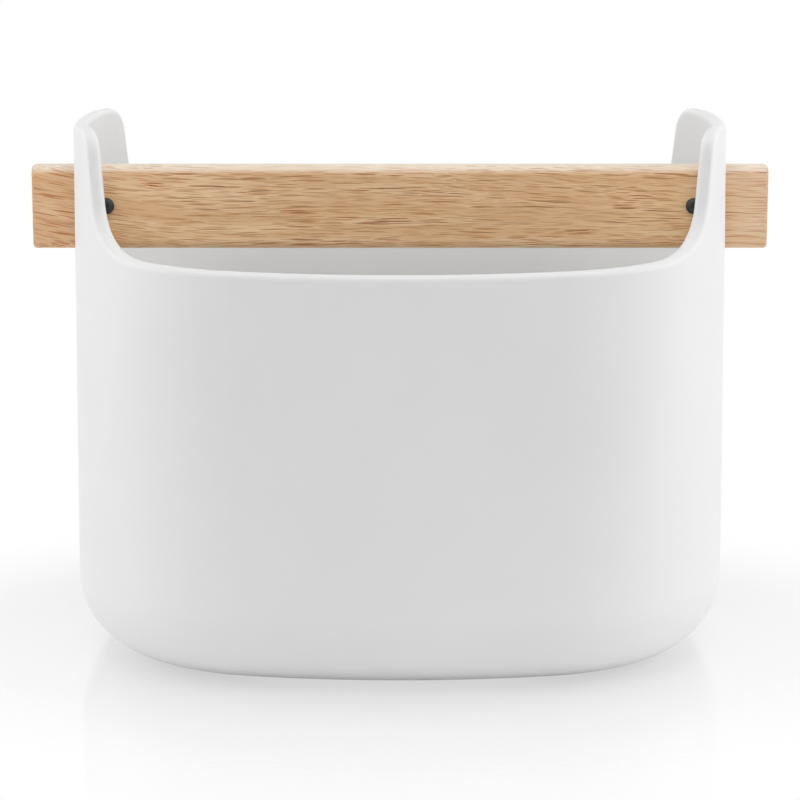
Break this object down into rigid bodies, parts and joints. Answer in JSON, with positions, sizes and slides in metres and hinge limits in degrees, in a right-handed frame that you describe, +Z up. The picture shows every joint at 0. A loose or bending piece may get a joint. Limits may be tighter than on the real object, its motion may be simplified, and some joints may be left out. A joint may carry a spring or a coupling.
{
  "type": "open storage caddy with bar handle",
  "caption": "Open oval ceramic storage caddy with tall ears at its ends and a wooden bar handle that passes through the ears and is held by socket screws.",
  "frame": {"origin": "on the resting plane, under the middle of the foot ring", "axes": "+X along the bar handle, -Y to the side with the screw heads, +Z up"},
  "size_m": [0.2914, 0.1974, 0.2091],
  "materials": {
    "ceramic": "matte white glaze",
    "oak": "oiled light oak",
    "sleeve_brass": "turned, plain",
    "black_screw": "black oxide"
  },
  "bodies": {
    "container": {"container_body": "ceramic"},
    "handle": {"handle_bar": "oak", "left_threaded_sleeve": "sleeve_brass", "right_threaded_sleeve": "sleeve_brass"},
    "left_screw": {"left_retaining_screw": "black_screw"},
    "right_screw": {"right_retaining_screw": "black_screw"}
  },
  "joints": [
    {"name": "handle_slide", "type": "slide", "parent": "container", "child": "handle", "axis": [1, 0, 0], "range_m": [-0.002, 0.002]},
    {"name": "left_screw_draw", "type": "slide", "parent": "handle", "child": "left_screw", "axis": [0, -1, 0], "range_m": [0, 0.004]},
    {"name": "right_screw_draw", "type": "slide", "parent": "handle", "child": "right_screw", "axis": [0, -1, 0], "range_m": [0, 0.004]}
  ]
}
